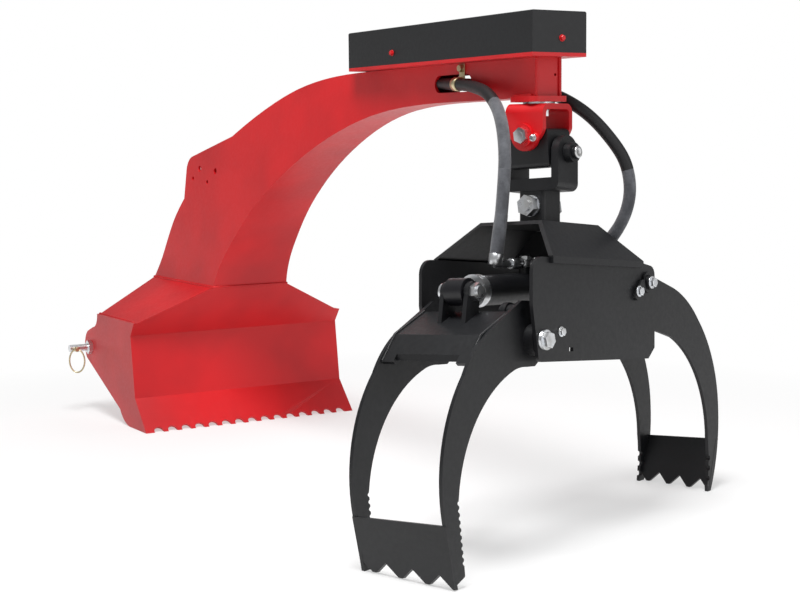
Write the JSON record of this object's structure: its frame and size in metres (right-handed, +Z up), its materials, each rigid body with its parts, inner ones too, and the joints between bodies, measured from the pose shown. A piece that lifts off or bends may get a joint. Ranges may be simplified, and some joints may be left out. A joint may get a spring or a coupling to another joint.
{
  "type": "log grapple",
  "caption": "Three-point hitch log grapple: blade frame with a curved box boom and a hydraulic two-jaw grapple hung from it by a swivel and a double-pin swing joint.",
  "frame": {"origin": "middle of the footprint, on the ground", "axes": "+X from the hitch end to the boom's free end, +Z up"},
  "size_m": [2.288, 1.111, 1.1167],
  "materials": {
    "red_paint": "gloss red paint on steel",
    "black_paint": "satin black paint on steel",
    "zinc": "bright zinc plate",
    "chrome": "hard chrome on the rod"
  },
  "bodies": {
    "boom_frame": {"blade": "red_paint", "shoulder_plates": "red_paint", "side_plates": "red_paint", "deck_plate": "red_paint", "deck_ribs": "red_paint", "rear_cross_tube": "red_paint", "hitch_pins": "zinc", "boom_side_right": "red_paint", "boom_side_left": "red_paint", "boom_under_plate": "red_paint", "boom_over_plate": "red_paint", "boom_end_plate": "red_paint", "swivel_flange": "red_paint", "box_foot_plate": "red_paint", "box_cover": "black_paint", "box_bolts": "red_paint", "kingpin": "zinc"},
    "hanger": {"hanger": "red_paint", "swing_pin_fore_aft": "zinc"},
    "cross_link": {"cross_link": "black_paint", "swing_pin_sideways": "zinc"},
    "grapple_head": {"yoke": "black_paint", "collar": "black_paint", "collar_bolt": "zinc", "head_side_plates": "black_paint", "head_roof": "black_paint", "lower_pivot_pins": "black_paint", "upper_pivot_pin": "black_paint", "keepers": "zinc"},
    "left_jaw": {"left_jaw_plates": "black_paint", "left_jaw_hubs": "black_paint", "left_jaw_cross_plate": "black_paint", "rod_lugs": "black_paint", "rod_pin": "black_paint", "left_tip_plate": "black_paint", "link_pin_left": "black_paint"},
    "right_jaw": {"right_jaw_plates": "black_paint", "right_jaw_hubs": "black_paint", "right_jaw_cross_plate": "black_paint", "right_tip_plate": "black_paint", "link_pin_right": "black_paint"},
    "cylinder": {"cylinder_barrel": "black_paint", "cylinder_gland": "zinc"},
    "piston_rod": {"cylinder_rod": "chrome"},
    "timing_link": {"timing_link": "black_paint"}
  },
  "joints": [
    {"name": "boom_swivel", "type": "hinge", "parent": "boom_frame", "child": "hanger", "pos_m": [0.80797, -0.01564, 0.9], "axis": [0, 0, 1], "range_deg": [-94.5, 55.5]},
    {"name": "fore_aft_swing", "type": "hinge", "parent": "hanger", "child": "cross_link", "pos_m": [0.80797, -0.01564, 0.845], "axis": [-0.3338, 0.9426, 0], "range_deg": [-36.2, 43.8]},
    {"name": "side_swing", "type": "hinge", "parent": "cross_link", "child": "grapple_head", "pos_m": [0.81059, -0.01471, 0.80309], "axis": [0.9406, 0.3331, 0.0663], "range_deg": [-34.4, 45.6]},
    {"name": "left_jaw_pivot", "type": "hinge", "parent": "grapple_head", "child": "left_jaw", "pos_m": [0.91109, -0.22462, 0.43172], "axis": [0.9406, 0.3331, 0.0663], "range_deg": [0, 42]},
    {"name": "right_jaw_pivot", "type": "hinge", "parent": "grapple_head", "child": "right_jaw", "pos_m": [0.77072, 0.15533, 0.51441], "axis": [0.9406, 0.3331, 0.0663], "range_deg": [-46.22, 0]},
    {"name": "cylinder_pivot", "type": "hinge", "parent": "grapple_head", "child": "cylinder", "pos_m": [0.77072, 0.15533, 0.51441], "axis": [0.9406, 0.3331, 0.0663], "range_deg": [0, 8.97]},
    {"name": "rod_slide", "type": "slide", "parent": "cylinder", "child": "piston_rod", "axis": [0.3309, -0.9427, 0.0416], "range_m": [0, 0.05476]},
    {"name": "timing_link_pivot", "type": "hinge", "parent": "left_jaw", "child": "timing_link", "pos_m": [0.91623, -0.25031, 0.48789], "axis": [0.9406, 0.3331, 0.0663], "range_deg": [-30.75, 0]}
  ],
  "couplings": [
    {"joint": "right_jaw_pivot", "follows": "left_jaw_pivot", "ratio": -1.1004},
    {"joint": "cylinder_pivot", "follows": "left_jaw_pivot", "ratio": 0.21361},
    {"joint": "rod_slide", "follows": "left_jaw_pivot", "m_per_rad": 0.074687},
    {"joint": "timing_link_pivot", "follows": "left_jaw_pivot", "ratio": -0.732}
  ]
}
